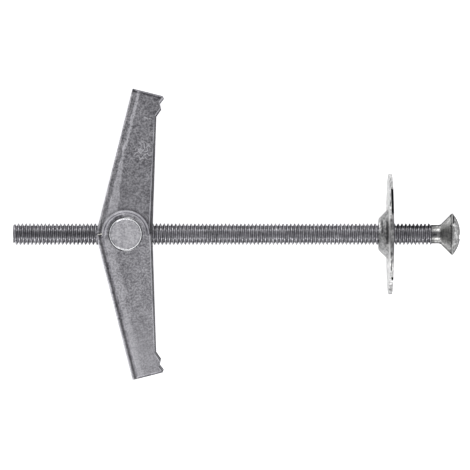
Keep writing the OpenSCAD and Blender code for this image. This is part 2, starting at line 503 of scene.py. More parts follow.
@dataclass(frozen=True)
class Mark:
    """A box in a piece's millimetres, with ragged edges, in which gain multiplies the tone."""

    middle: tuple[float, float, float]
    half: tuple[float, float, float]
    gain: float
    fade: float = 0.12

    def share(self, tree: Tree, place: Socket) -> Socket:
        """Adds the factor by which the mark changes the tone.

        Args:
            tree: Tree of the material.
            place: Coordinates in millimetres, wandering by WOBBLE.

        Returns:
            The gain inside the box, and 1 from fade millimetres off it.
        """
        steps = (
            ("SUBTRACT", [m + WOBBLE / 2 for m in self.middle]),
            ("ABSOLUTE",),
            ("SUBTRACT", self.half),
            ("MAXIMUM", (0.0, 0.0, 0.0)),
        )
        for operation, *operand in steps:
            place = add_node(tree, "VectorMath", (place, *operand), operation=operation)
        off = add_node(tree, "VectorMath", (place,), "Value", operation="LENGTH")
        return add_node(tree, "MapRange", (off, 0.0, self.fade, self.gain, 1.0))


@dataclass(frozen=True)
class ZincFinish:
    """Zinc plating on steel, dulled by tumbling: cloudy, with a fine grain and worn lines.

    The real grain is under 0.1 mm; it is drawn as coarse as 0.3 mm so that it shows.
    """

    name: str
    deep: str = "#38383b"
    dark: str = "#6b6a6f"
    light: str = "#e4e3e7"
    rough: float = 0.24
    shine: float = 0.18
    edge: str = "#ffffff"
    relief_mm: float = 0.007
    layers: tuple[Mottle, ...] = (
        Mottle(0.32, 0.50),
        Mottle(0.85, 0.20),
        Mottle(2.60, 0.15),
        Mottle(0.45, 0.08, stretch=9.0, turn=35.0, lines=0.03),
        Mottle(0.45, 0.07, stretch=9.0, turn=-50.0, lines=0.03),
    )
    marks: tuple[Mark, ...] = ()

    def tone(self, tree: Tree, place: Socket) -> Socket:
        """Adds all layers up and changes their sum inside each mark.

        Args:
            tree: Tree of the material.
            place: Coordinates in millimetres.

        Returns:
            The tone, from 0 for deep over BARE for dark to 1 for light.
        """
        total: Socket | float = BARE
        for mottle in self.layers:
            terms = (mottle.value(tree, place), mottle.share * (1 - BARE), total)
            total = add_node(tree, "Math", terms, operation="MULTIPLY_ADD")
        if self.marks:
            noise = add_node(tree, "TexNoise", {"Vector": place, **RAGGED}, "Color")
            terms = (noise, (WOBBLE,) * 3, place)
            place = add_node(tree, "VectorMath", terms, operation="MULTIPLY_ADD")
        for mark in self.marks:
            terms = (total, mark.share(tree, place))
            total = add_node(tree, "Math", terms, operation="MULTIPLY")
        return total

    def gloss(self, tree: Tree, place: Socket, tone: Socket) -> Socket:
        """Makes light spots shinier than dark ones; returns the roughness."""
        return add_node(tree, "MapRange", (tone, BARE, 1.0, self.rough, self.shine))

    def material(self, to_own: Matrix) -> bpy.types.Material:
        """Builds the material, or finds it where another piece has it already.

        Args:
            to_own: Matrix from the row frame to the piece's own millimetres.

        Returns:
            A metal whose colour, gloss and relief follow its tone.
        """
        if self.name in bpy.data.materials:
            return bpy.data.materials[self.name]
        material = bpy.data.materials.new(self.name)
        material.use_nodes = True
        tree = material.node_tree
        place, turn, size = to_own.decompose()
        mapping = {
            "Vector": add_node(tree, "TexCoord", output="Object"),
            "Location": place,
            "Rotation": turn.to_euler(),
            "Scale": size,
        }
        own = add_node(tree, "Mapping", mapping)
        tone = self.tone(tree, own)
        colour = add_node(tree, "ValToRGB", (tone,))
        stops = colour.node.color_ramp.elements
        stops[0].color = linear(self.deep)
        stops[1].color = linear(self.light)
        stops.new(BARE).color = linear(self.dark)
        relief = {"Height": tone, "Distance": self.relief_mm * MM}
        coat = {
            "Base Color": colour,
            "Metallic": 1.0,
            "Roughness": self.gloss(tree, own, tone),
            "Normal": add_node(tree, "Bump", relief),
            "Specular Tint": linear(self.edge),
        }
        plug(tree, tree.nodes["Principled BSDF"], coat)
        return material


@dataclass(frozen=True)
class ThreadFinish(ZincFinish):
    """Zinc on a rolled thread: burnished crests, and valleys dark with old chromate and painted
    shade.
    """

    # Radii between which the tone rises from its share in the valleys, old chromate and painted
    # shade, to the whole.
    valley_r: tuple[float, float] = (1.52, 1.95)
    valley: float = 0.58

    def tone(self, tree: Tree, place: Socket) -> Socket:
        """Darkens the tone towards the bottom of the thread, which lies along X, as old chromate and
        painted shade.

        Args:
            tree: Tree of the material.
            place: Coordinates in millimetres.

        Returns:
            The tone.
        """
        radius = distance_from(tree, place, (0.0, 1.0, 1.0), (0.0, 0.0, 0.0))
        share = add_node(tree, "MapRange", (radius, *self.valley_r, self.valley))
        return add_node(tree, "Math", (super().tone(tree, place), share), operation="MULTIPLY")


@dataclass(frozen=True)
class WasherFinish(ZincFinish):
    """Zinc on a pressed washer, with painted shade on its drawn cup and on a stretch of its outer
    edge.
    """

    # Radii between which the drawn cup ends, and the share of the tone that its painted shade leaves.
    cup_r: tuple[float, float] = (4.6, 5.3)
    cup: float = 0.66
    # The stretch of painted shade lies between two heights, past an X and a radius, where a coarse
    # noise, raised between those heights, passes shade_at.
    shade_y: tuple[float, float] = (3.3, 8.6)
    shade_x: tuple[float, float] = (68.60, 68.70)
    shade_fade: float = 0.6
    shade_lift: float = 0.34
    shade_at: tuple[float, float] = (0.62, 0.68)
    edge_r: tuple[float, float] = (10.90, 10.95)
    # A darker share of the tone on the part of the edge that is farthest along Z, and how its limit
    # wanders.
    edge_dim: float = 0.5
    edge_dim_wander: float = 0.6
    edge_dim_z: tuple[float, float] = (10.60, 11.00)

    def tone(self, tree: Tree, place: Socket) -> Socket:
        """Darkens the cup and a stretch of the outer edge as painted shade, and the part of the edge
        farthest along Z.

        Args:
            tree: Tree of the material.
            place: Coordinates in millimetres.

        Returns:
            The tone.
        """
        radius = distance_from(tree, place, (0.0, 1.0, 1.0), (0.0, 0.0, 0.0))
        x, y, z = add_node(tree, "SeparateXYZ", (place,)).node.outputs
        # Painted shade on a stretch of the outer edge.
        ragged = add_node(tree, "TexNoise", {"Vector": place, **WASHER_EDGE_NOISE})
        first, last = self.shade_y
        for start, step in ((first, self.shade_lift), (last - self.shade_fade, -self.shade_lift)):
            part = add_node(tree, "MapRange", (y, start, start + self.shade_fade, 0.0, step))
            ragged = add_node(tree, "Math", (ragged, part), operation="ADD")
        limits = ((ragged, self.shade_at), (x, self.shade_x), (radius, self.edge_r))
        unshaded: Socket | float = 0.0
        for value, span in limits:
            part = add_node(tree, "MapRange", (value, *span, 1.0, 0.0))
            unshaded = add_node(tree, "Math", (part, unshaded), operation="MAXIMUM")
        # Painted shade on the drawn cup.
        drawn = add_node(tree, "MapRange", (radius, *self.cup_r, self.cup))
        depth = add_node(tree, "Math", (ragged, self.edge_dim_wander, z), operation="MULTIPLY_ADD")
        edge_dimmed = add_node(tree, "MapRange", (depth, *self.edge_dim_z, 1.0, self.edge_dim))
        tone = super().tone(tree, place)
        for share in (drawn, unshaded, edge_dimmed):
            tone = add_node(tree, "Math", (tone, share), operation="MULTIPLY")
        return tone


@dataclass(frozen=True)
class SheetFinish(ZincFinish):
    """Zinc on a folded sheet: rubbed bright beside the bend, as the folding die leaves it.

    Its coordinates have X towards the free edge, Y along the wing and 0 at the pivot.
    """

    # The bend fades into the flank between two places; its share of the tone, which is painted
    # shade, its extra roughness, and its outer skin, lightened as a painted highlight.
    bend_x: tuple[float, float] = (-4.12, -3.87)
    bend_shade: float = 0.72
    bend_dull: float = 0.12
    skin_x: tuple[float, float] = (-5.18, -5.02)
    skin_highlight: float = 0.3
    # The rubbed band: where it rises, its widths at two places along the wing, and how it
    # fades and wanders.
    rub_x: tuple[float, float] = (-4.25, -4.05)
    rub_y: tuple[float, float] = (4.0, 23.0)
    rub_wide: tuple[float, float] = (1.2, 0.5)
    rub_gain: float = 0.19
    rub_fade: float = 0.7
    wander: float = 1.1
    # The wing gets lighter by end_gain up to its end, and its mottling goes down, between two
    # places, to the share calm of its distance from a middle tone.
    end_gain: float = 0.14
    end_y: float = 26.0
    calm_y: tuple[float, float] = (13.0, 20.0)
    calm: float = 0.6
    middle: float = 0.62
    # A scuff's place and the radii between which it ends, then the painted shadow round the foot
    # of the ear that lies on this wing.
    scuff: tuple[float, float] = (-0.5, 15.3)
    scuff_r: tuple[float, float] = (1.2, 2.0)
    scuff_gain: float = 0.0
    ear_shadow_r: tuple[float, float] = (4.48, 4.88)
    ear_shadow: float = 1.0

    def tone(self, tree: Tree, place: Socket) -> Socket:
        """Adds the bend's painted shade, the rubbed band beside it, slow changes along the wing, the
        painted highlight on its outer skin and the painted shadow round the ear.

        Args:
            tree: Tree of the material.
            place: Coordinates in millimetres.

        Returns:
            The tone.
        """
        x, along, _ = add_node(tree, "SeparateXYZ", (place,)).node.outputs
        waves = add_node(tree, "TexNoise", {"Vector": place, **WAVY})
        across = add_node(tree, "Math", (waves, self.wander, x), operation="MULTIPLY_ADD")
        low, high = (rise_x + self.wander / 2 for rise_x in self.rub_x)
        rise = add_node(tree, "MapRange", (across, low, high))
        ends = (high + width for width in self.rub_wide)
        end = add_node(tree, "MapRange", (along, *self.rub_y, *ends))
        past = add_node(tree, "Math", (across, end), operation="SUBTRACT")
        fall = add_node(tree, "MapRange", (past, 0.0, self.rub_fade, self.rub_gain, 0.0))
        keep = add_node(tree, "MapRange", (along, *self.calm_y, 1.0, self.calm))
        even = add_node(tree, "Math", (super().tone(tree, place), -self.middle), operation="ADD")
        tone = add_node(tree, "Math", (even, keep, self.middle), operation="MULTIPLY_ADD")
        for gain, share in ((rise, fall), (along, self.end_gain / self.end_y)):
            tone = add_node(tree, "Math", (gain, share, tone), operation="MULTIPLY_ADD")
        if self.scuff_gain:
            tone = self.scuffed(tree, place, tone)
        # Painted shadow round the foot of the ear.
        radius = distance_from(tree, place, (1.0, 1.0, 0.0), (0.0, 0.0, 0.0))
        off_ear_shadow = add_node(tree, "MapRange", (radius, *self.ear_shadow_r, self.ear_shadow))
        # Painted highlight on the bend's outer skin.
        worn = add_node(tree, "MapRange", (x, *self.skin_x, self.skin_highlight, 0.0))
        tone = add_node(tree, "Math", (tone, off_ear_shadow), operation="MULTIPLY")
        # Painted shade on the bend.
        bend = self.beside_bend(tree, place, self.bend_shade, 1.0)
        return add_node(tree, "Math", (tone, bend, worn), operation="MULTIPLY_ADD")

    def scuffed(self, tree: Tree, place: Socket, tone: Socket) -> Socket:
        """Adds a patch of light nicks, as another bolt leaves where it has rubbed.

        Args:
            tree: Tree of the material.
            place: Coordinates in millimetres.
            tone: The tone without them.

        Returns:
            The tone with them.
        """
        x, along = self.scuff
        far = distance_from(tree, place, (1.0, 1.0, 0.0), (-x, -along, 0.0))
        patch = add_node(tree, "MapRange", (far, *self.scuff_r, self.scuff_gain, 0.0))
        terms = (NICKS.value(tree, place), patch, tone)
        return add_node(tree, "Math", terms, operation="MULTIPLY_ADD")

    def beside_bend(self, tree: Tree, place: Socket, bend: float, flat: float) -> Socket:
        """Adds a value that is bend on the bend and flat on the flanks."""
        x = add_node(tree, "SeparateXYZ", (place,))
        return add_node(tree, "MapRange", (x, *self.bend_x, bend, flat))

    def gloss(self, tree: Tree, place: Socket, tone: Socket) -> Socket:
        """Makes the bend duller than the flanks; returns the roughness."""
        extra = self.beside_bend(tree, place, self.bend_dull, 0.0)
        return add_node(tree, "Math", (super().gloss(tree, place, tone), extra), operation="ADD")


# Plated steel whose thread was rolled: burnished crests draw the pitch as fine light lines.
# Painted shade dulls it between washer and neck, most along the top, and in front near the tip.
THREAD = ThreadFinish(
    "rolled_zinc_plated_steel",
    dark="#838286",
    light="#d6d5d9",
    rough=0.34,
    shine=0.26,
    edge="#505050",
    marks=(
        Mark((72.9, 0.0, 0.0), (3.3, 4.0, 4.0), 0.88),
        Mark((72.9, 1.45, 1.0), (3.3, 0.3, 0.8), 0.4),
        Mark((7.0, 0.05, 1.7), (7.5, 0.4, 0.6), 0.6, fade=0.5),
    ),
)

# Zinc on the head's dome, hit most in the tumbling drum: a crumpled cloud of grey and light,
# with two dark marks near the rim.
DOME = ZincFinish(
    "tumbled_zinc_head",
    dark="#646464",
    light="#d7d7d6",
    rough=0.36,
    shine=0.28,
    edge="#909090",
    relief_mm=0.010,
    layers=(Mottle(0.34, 0.5), Mottle(0.7, 0.35), Mottle(2.0, 0.15)),
    marks=(
        Mark((80.2, 2.6, 2.6), (0.08, 0.6, 1.4), 0.1),
        Mark((80.9, 2.75, 1.8), (0.1, 0.2, 1.4), 0.2),
    ),
)

# Zinc on cone and neck, left smooth by the heading die: long clear reflections. Painted shade
# lies under the rim, at the thread's end, in three streaks along the neck and low on the cone.
CONE = ZincFinish(
    "formed_zinc_cone",
    dark="#868685",
    light="#dededc",
    rough=0.36,
    shine=0.30,
    edge="#606060",
    relief_mm=0.005,
    marks=(
        Mark((79.78, 0.0, 0.0), (0.06, 4.0, 4.0), 0.35, fade=0.1),
        Mark((76.5, 0.0, 1.0), (0.25, 2.0, 2.0), 0.5),
        Mark((77.1, -0.1, 1.7), (0.9, 0.40, 0.5), 0.3),
        Mark((76.9, -0.1, 1.7), (0.3, 0.12, 0.3), 0.1),
        Mark((77.1, 1.7, 0.3), (0.9, 0.25, 1.2), 0.3),
        Mark((77.1, -1.7, 0.3), (0.9, 0.15, 1.2), 0.4),
        Mark((77.6, -2.4, 0.5), (0.9, 0.4, 1.5), 0.65),
    ),
)

# Plated sheet, pressed: very light and cloudy, with a cup dulled by painted shade. Its lip has a
# painted highlight, two dark lines cross the cup, the one at its foot painted shade, and dents,
# scratches, a dull stretch and a stretch of painted light follow its edge.
PRESSED_SHEET = WasherFinish(
    "pressed_zinc_plated_sheet",
    deep="#161618",
    dark="#787878",
    light="#f6f6f5",
    rough=0.50,
    shine=0.42,
    relief_mm=0.009,
    layers=(Mottle(0.36, 0.42), Mottle(0.9, 0.38), Mottle(0.5, 0.20, stretch=2.5, turn=90.0)),
    marks=(
        # Painted highlight on the lip.
        Mark((66.78, 1.2, 2.6), (0.1, 0.9, 1.0), 2.4),
        Mark((67.25, 1.3, 2.8), (0.06, 1.1, 1.0), 0.4),
        # Painted shade at the cup's foot.
        Mark((68.12, 0.3, 3.9), (0.14, 2.0, 1.0), 0.3),
        Mark((68.92, -8.05, 7.4), (0.14, 0.22, 0.8), 0.0),
        Mark((68.68, -5.7, 9.3), (0.04, 0.9, 0.8), 0.15),
        Mark((68.66, -3.6, 10.3), (0.04, 0.4, 0.5), 0.3),
        Mark((68.45, 5.6, 9.3), (0.04, 0.5, 0.8), 0.2),
        # Painted light on the lower stretch.
        Mark((68.5, -7.0, 6.5), (0.6, 2.0, 3.5), 1.16),
        Mark((68.8, -10.7, 2.0), (0.25, 0.7, 3.5), 0.7, fade=0.3),
    ),
)

# Bar cropped to length and plated: a pale, even grain.
BAR = ZincFinish("cropped_zinc_plated_bar", dark="#a8a7ac", light="#f6f5f8")

# Rims burnished as they are rolled over: a thin bright ring, dimmed by painted shade on the side of
# the tip.
RIM = ZincFinish(
    "burnished_zinc_rim",
    dark="#cfd0d2",
    light="#ffffff",
    rough=0.26,
    shine=0.2,
    marks=(Mark((17.9, 0.3, 5.0), (0.4, 1.5, 1.5), 0.5, fade=0.5),),
)

# Hard spring wire drawn through a die and plated: smooth and mid grey, with long highlights.
WIRE = ZincFinish("drawn_spring_wire", dark="#88878b")

# Edges of the sheet worn in the drum: a light line where they catch the lamps.
WORN_EDGE = ZincFinish("worn_zinc_edge", dark="#a5a6a9", light="#dcddde", rough=0.3, shine=0.22)

# Inner side of the fold: matt grey that fades into shade, with painted shade darkest in the slit
# beside each free edge.
INSIDE = ZincFinish(
    "matt_zinc_in_the_fold",
    dark="#78777c",
    light="#c4c3c8",
    rough=0.42,
    marks=(
        Mark((25.8, 12.5, -4.1), (1.0, 10.5, 0.15), 0.2),
        Mark((25.8, -12.5, -3.2), (1.0, 10.5, 0.15), 0.2),
    ),
)

# Burr torn off at the web's end, past the plating's grime: a cream white thread.
BURR = ZincFinish("torn_zinc_burr", dark="#f0ede2", light="#fffff8", rough=0.5, shine=0.4)

# Painted shade beside the nut on the outer ear: its radius, and its angles in degrees from
# the ear's top round to the web.
EAR_R = 3.35
EAR_TURNS = range(-90, -179, -11)
EAR_SHADE = tuple(
    Mark((EAR_R * math.cos(turn), EAR_R * math.sin(turn), -4.7), (0.18, 0.18, 0.5), 0.62, fade=0.3)
    for turn in map(math.radians, EAR_TURNS)
)

# Plated sheet, folded: violet grey with a dark grain and a long rubbed streak. The upper wing is
# darker, as painted shade, with a painted shadow round the lower wing's ear, a scuff's nicks, two
# painted highlights along its bend, a scratch across its flank and a dark end; the lower one is
# lighter, as painted light, with painted shade beside the nut, and gets lighter and calmer towards
# its end, where one painted highlight lies.
SHEETS = {
    Side.UPPER: SheetFinish(
        "folded_zinc_plated_sheet",
        dark="#57565b",
        light="#cbcace",
        bend_x=(-4.25, -4.0),
        bend_shade=0.95,
        bend_dull=0.25,
        skin_highlight=0.15,
        rub_y=(4.0, 14.0),
        rub_wide=(1.55, 0.05),
        rub_gain=0.34,
        rub_fade=0.25,
        end_gain=0.0,
        calm_y=(13.0, 4.0),
        calm=0.75,
        scuff_gain=1.0,
        ear_shadow=0.7,
        marks=(
            Mark((-1.0, 23.5, 3.9), (3.0, 1.5, 0.8), 0.91, fade=2.5),
            Mark((-1.0, 6.0, 3.9), (3.0, 2.5, 0.8), 0.95, fade=2.5),
            # Painted highlights along the bend.
            Mark((-4.64, 13.5, 3.7), (0.05, 12.5, 0.5), 1.5, fade=0.1),
            Mark((-3.82, 20.5, 3.9), (0.07, 5.5, 0.5), 1.8),
            Mark((-1.3, 21.4, 3.9), (0.6, 0.04, 0.5), 1.8),
            Mark((-2.2, 25.55, 3.8), (3.2, 0.05, 0.6), 0.4),
            Mark((-4.95, 25.6, 3.6), (0.15, 0.2, 0.6), 0.1),
        ),
    ),
    Side.LOWER: SheetFinish(
        "folded_zinc_plated_sheet_bright",
        dark="#636267",
        light="#d9d8dc",
        # A painted highlight near the end, and painted shade beside the nut.
        marks=(Mark((-4.0, 22.4, -4.7), (0.05, 1.8, 0.5), 1.5), *EAR_SHADE),
    ),
}

# Zinc squeezed smooth by the coining die and the rollers: clean lines of light and dark, dimmer
# across the wing's end, with painted shade on the ring near the free edge and beside the nut. The
# upper wing's is darker and the lower's lighter, as painted shade and painted light.
COINED = {
    side: ZincFinish(
        f"coined_zinc_edge_{side.value}",
        dark=dark,
        light=light,
        rough=0.26,
        shine=0.20,
        layers=(Mottle(0.5, 0.15), Mottle(1.4, 0.4), Mottle(4.0, 0.45)),
        marks=(
            Mark((-1.8, 25.84, 0.0), (3.0, 0.08, 6.0), 0.3, fade=0.08),
            # Painted shade on the ring near the free edge.
            Mark((4.06, -0.57, -4.7), (0.3, 1.6, 0.6), 0.7, fade=0.4),
            *EAR_SHADE,
        ),
    )
    for side, dark, light in (
        (Side.UPPER, "#828186", "#c0bfc4"),
        (Side.LOWER, "#96959a", "#d4d3d7"),
    )
}


# ---------------------------------------------------------------- pieces


def finish_piece(
    bolt: BoltFrame,
    obj: Piece,
    body: str,
    node: str,
    materials: Iterable[bpy.types.Material],
) -> None:
    """Lays a modelled piece into the row frame and hands it to its body.

    Args:
        bolt: The bolt's axes.
        obj: Piece in the bolt's millimetres.
        body: Body that it moves with.
        node: CAD node that it stands for.
        materials: Its materials, in the order of its faces' material indices.
    """
    bolt.lay(obj)
    for material in materials:
        obj.data.materials.append(material)
    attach(obj, body)
    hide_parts(node)
    log.info("%s: %d faces, rides on %s", obj.name, len(obj.data.polygons), body)


@dataclass
class MachineScrew:
    """Raised countersunk machine screw with a rolled thread and a cross recess."""

    length: float = 80.0
    thread_d: float = 3.9
    pitch: float = 0.7
    thread_depth: float = 0.43
    crest_flat: float = 0.10
    root_flat: float = 0.14
    # Shares of a flank's length and height that are rounded at its foot and at its top.
    flank_foot: tuple[float, float] = (0.12, 0.06)
    flank_top: tuple[float, float] = (0.1, 0.04)
    # Turns of the helix that are cut off again: before the tip, and in all.
    spare_before: int = 2
    spare_turns: int = 4
    # Steps of radius and X that round both edges of the tip's chamfer.
    tip_chamfer: float = 0.35
    tip_edge: Pairs = ((-0.08, 0.0), (0.0, 0.03))
    chamfer_edge: Pairs = ((-0.02, 0.0), (0.01, 0.4))
    neck_d: float = 3.4
    neck_l: float = 1.6
    neck_lead: Pairs = ((-0.25, -0.35), (0.0, 0.0))
    neck_seam: float = 0.05
    cone_fillet: float = 0.8
    head_d: float = 7.6
    rim_l: float = 0.2
    rim_edge: Pairs = ((-0.05, -0.05), (0.0, 0.04))
    dome_r: float = 5.9
    recess_d: float = 4.4
    recess_w: float = 1.0
    recess_depth: float = 2.3
    # The punch's pointed end, the share of recess_d that its round core has, and its slope.
    recess_tip: float = 0.1
    recess_core: float = 0.26
    recess_taper: float = 26.5
    recess_turn: float = 25.0
    thread_steps: int = 36
    turned_steps: int = 96
    fillet_steps: int = 8
    dome_steps: int = 24
    recess_steps: int = 48
    crease: float = 35.0

    @property
    def neck_x(self) -> float:
        """Place where the thread ends and the neck begins."""
        return self.length - (self.head_d - self.neck_d) / 2 - self.neck_l

    @property
    def dome_x(self) -> float:
        """Place of the top of the dome."""
        rim = self.head_d / 2
        return self.length + self.rim_l + self.dome_r - math.sqrt(self.dome_r**2 - rim**2)

    def threaded_rod(self) -> Piece:
        """Sweeps one thread's profile along a helix and cuts the rod square at both ends.

        Returns:
            The rod, from the tip to the neck.
        """
        crest = self.thread_d / 2
        root = crest - self.thread_depth
        flank = (self.pitch - self.crest_flat - self.root_flat) / 2
        foot_x, foot_r = self.flank_foot[0] * flank, root + self.flank_foot[1] * self.thread_depth
        top_x, top_r = self.flank_top[0] * flank, crest - self.flank_top[1] * self.thread_depth
        rise, fall = self.root_flat + flank, self.root_flat + flank + self.crest_flat
        outline = [
            (0.0, root),
            (self.root_flat, root),
            (self.root_flat + foot_x, foot_r),
            (rise - top_x, top_r),
            (rise, crest),
            (fall, crest),
            (fall + top_x, top_r),
            (self.pitch - foot_x, foot_r),
            (self.pitch, root),
        ]
        start = self.spare_before * self.pitch
        rod = draw_line("thread", [Vector((x - start, 0.0, r)) for x, r in outline])
        helix = rod.modifiers.new("helix", "SCREW")
        helix.axis = "X"
        helix.angle = math.tau
        helix.screw_offset = self.pitch
        helix.iterations = math.ceil(self.neck_x / self.pitch) + self.spare_turns
        helix.steps = helix.render_steps = self.thread_steps
        apply_modifier(rod, helix)
        close_mesh(rod)
        for place, direction in ((0.0, -1.0), (self.neck_x, 1.0)):
            begin_edit(rod)
            plane = {"plane_co": (place, 0, 0), "plane_no": (direction, 0, 0)}
            bpy.ops.mesh.bisect(**plane, use_fill=True, clear_outer=True)
            end_edit()
        close_mesh(rod)
        return rod

    def envelope(self) -> Piece:
        """Turns the blank that the thread is rolled on.

        Returns:
            A plain rod with a chamfered tip, as wide as the thread.
        """
        crest, chamfer = self.thread_d / 2, self.tip_chamfer
        profile = [
            (0.0, 0.0),
            *near((crest - chamfer, 0.0), self.tip_edge),
            *near((crest, chamfer), self.chamfer_edge),
            (crest + self.chamfer_edge[-1][0], self.neck_x + TOOL_REACH),
            (0.0, self.neck_x + TOOL_REACH),
        ]
        return turn_profile("blank", profile, self.turned_steps)

    def head(self) -> Piece:
        """Turns the neck, cone, rim and dome of the head.

        Returns:
            The head, without its recess.
        """
        neck, rim = self.neck_d / 2, self.head_d / 2
        fillet = self.cone_fillet
        fillet_x = self.length - (rim - neck) - fillet * HALF_BEND
        dome_from = 90 - math.degrees(math.asin(rim / self.dome_r))
        centre = (0.0, self.dome_x - self.dome_r)
        profile = [
            (0.0, self.neck_x + self.neck_lead[0][1]),
            *near((neck, self.neck_x), self.neck_lead),
            *arc((neck + fillet, fillet_x), fillet, 180, 135, self.fillet_steps),
            *near((rim, self.length), self.rim_edge),
            (rim, self.length + self.rim_l - self.rim_edge[-1][1]),
            *arc(centre, self.dome_r, dome_from, 90, self.dome_steps)[1:],
        ]
        return turn_profile("head", profile, self.turned_steps)

    def recess(self) -> Piece:
        """Models the punch that forms the recess.

        Returns:
            A cone cut down to a cross.
        """
        slope = math.tan(math.radians(self.recess_taper))
        bottom_r = self.recess_d / 2 - self.recess_depth * slope
        core_r = self.recess_core * self.recess_d
        bottom = self.dome_x - self.recess_depth
        height = self.recess_depth + TOOL_REACH
        top = bottom + height
        tip = [(0, bottom - self.recess_tip), (bottom_r, bottom)]
        wide = [(bottom_r + height * slope, top), (0, top)]
        cone = turn_profile("recess_cone", tip + wide, self.recess_steps)
        low, high = bottom - TOOL_REACH, top + TOOL_REACH
        core = [(0, low), (core_r, low), (core_r, high), (0, high)]
        cross = turn_profile("recess_core", core, self.recess_steps)
        for quarter in (0, 90):
            slot = add_primitive(
                "cube",
                size=1,
                location=(bottom + height / 2, 0, 0),
                rotation=(math.radians(self.recess_turn + quarter), 0, 0),
                scale=(high - low, 2 * self.recess_d, self.recess_w),
            )
            bpy.ops.object.transform_apply(location=True, rotation=True, scale=True)
            use_tool(cross, slot, Action.JOIN)
        use_tool(cone, cross, Action.LIMIT)
        return cone

    def build(self) -> Piece:
        """Joins rod and head and punches the recess.

        Returns:
            The screw in the bolt's millimetres.
        """
        screw = self.threaded_rod()
        screw.name = "machine_screw"
        use_tool(screw, self.envelope(), Action.LIMIT)
        head = self.head()
        use_tool(head, self.recess())
        use_tool(screw, head, Action.JOIN)
        # Numbers of the materials: 0 thread, 1 dome, 2 neck and cone.
        for polygon in screw.data.polygons:
            if polygon.center.x > self.length:
                polygon.material_index = 1
            elif polygon.center.x > self.neck_x + self.neck_seam:
                polygon.material_index = 2
        smooth(screw, self.crease)
        return screw

    def dress(self, bolt: BoltFrame) -> None:
        """Builds the screw and dresses its thread, its dome, and its neck and cone."""
        materials = (finish.material(bolt.from_row) for finish in (THREAD, DOME, CONE))
        finish_piece(bolt, self.build(), "screw", "screw", materials)


@dataclass
class DishedWasher:
    """Large washer whose middle is pressed into a cup for the countersunk head."""

    face_x: float = 68.4
    outer_d: float = 22.0
    sheet: float = 0.7
    hole_r: float = 2.2
    cup_r: float = 4.35
    lip: float = 0.3
    bend_r: float = 0.5
    steps: int = 128
    back_steps: int = 5
    front_steps: int = 6
    crease: float = 35.0
    # Steps of radius and X that round the punched hole, its lip and the outer edge.
    hole_back: Pairs = ((0.0, 0.06), (0.06, 0.0))
    lip_back: Pairs = ((-0.1, 0.0), (0.03, 0.06))
    outer_back: Pairs = ((-0.12, 0.0), (-0.03, 0.04), (0.0, 0.15))
    outer_front: Pairs = ((0.0, -0.08), (-0.05, 0.0))
    hole_front: Pairs = ((0.04, 0.02), (0.0, -0.04))

    def build(self) -> Piece:
        """Turns the washer's section, with its punched and rounded edges.

        Returns:
            The washer in the bolt's millimetres.
        """
        front = self.face_x + self.sheet
        cup_in = front - (self.cup_r - self.hole_r)
        tip = cup_in - self.lip
        shift = self.sheet * math.sqrt(2)
        outer = self.outer_d / 2
        base_r = self.cup_r + shift - self.sheet
        tip_r = self.cup_r + shift - (front - tip)
        small, large = self.bend_r, self.bend_r + self.sheet
        profile = [
            *near((self.hole_r, tip), self.hole_back),
            *near((tip_r, tip), self.lip_back),
            *arc((base_r + small * HALF_BEND, self.face_x - small), small, 135, 90, self.back_steps),
            *near((outer, self.face_x), self.outer_back),
            *near((outer, front), self.outer_front),
            *arc((self.cup_r + large * HALF_BEND, front - large), large, 90, 135, self.front_steps),
            *near((self.hole_r, cup_in), self.hole_front),
        ]
        washer = turn_profile("dished_washer", [*profile, profile[0]], self.steps)
        smooth(washer, self.crease)
        return washer

    def dress(self, bolt: BoltFrame) -> None:
        """Builds the washer and dresses it."""
        materials = [PRESSED_SHEET.material(bolt.from_row)]
        finish_piece(bolt, self.build(), "washer", "washer", materials)


@dataclass
class BarrelNut:
    """Cross-drilled barrel nut whose ends are the pivots of both wings."""

    diameter: float = 6.0
    length: float = 9.98
    bore_d: float = 4.0
    dish: float = 0.08
    crest_r: float = 2.76
    wall: float = 0.11
    crown: float = 0.15
    crown_drop: float = 0.036
    crown_fall: float = 0.04
    shoulder: float = 0.17
    steps: int = 96
    bore_steps: int = 64
    crease: float = 11.0

    def build(self) -> Piece:
        """Turns the barrel with the rolled rims of its ends and drills its cross hole.

        Returns:
            The nut in the bolt's millimetres.
        """
        half, radius = self.length / 2, self.diameter / 2
        shoulder_r = self.crest_r + self.crown
        end = [
            (0.0, half - self.dish),
            (self.crest_r - self.wall, half - self.dish),
            (self.crest_r, half),
            (shoulder_r, half - self.crown_drop),
            ((shoulder_r + radius) / 2, half - self.crown_drop - self.crown_fall),
            (radius, half - self.shoulder),
        ]
        profile = end + [(r, -z) for r, z in reversed(end)]
        nut = turn_profile("barrel_nut", profile, self.steps, AXIS_Z)
        bore = {"radius": self.bore_d / 2, "depth": 3 * radius, "rotation": (0, math.pi / 2, 0)}
        drill = add_primitive("cylinder", vertices=self.bore_steps, **bore)
        bpy.ops.object.transform_apply(location=True, rotation=True)
        use_tool(nut, drill)
        # Numbers of the materials: 0 barrel, 1 rims.
        for polygon in nut.data.polygons:
            x, y, z = polygon.center
            if math.hypot(x, y) > self.crest_r and abs(z) > half - self.shoulder:
                polygon.material_index = 1
        nut.data.transform(TO_NUT)
        smooth(nut, self.crease)
        return nut

    def dress(self, bolt: BoltFrame) -> None:
        """Builds the nut and dresses its barrel and its rims."""
        materials = (finish.material(bolt.from_row) for finish in (BAR, RIM))
        finish_piece(bolt, self.build(), "nut", "nut", materials)


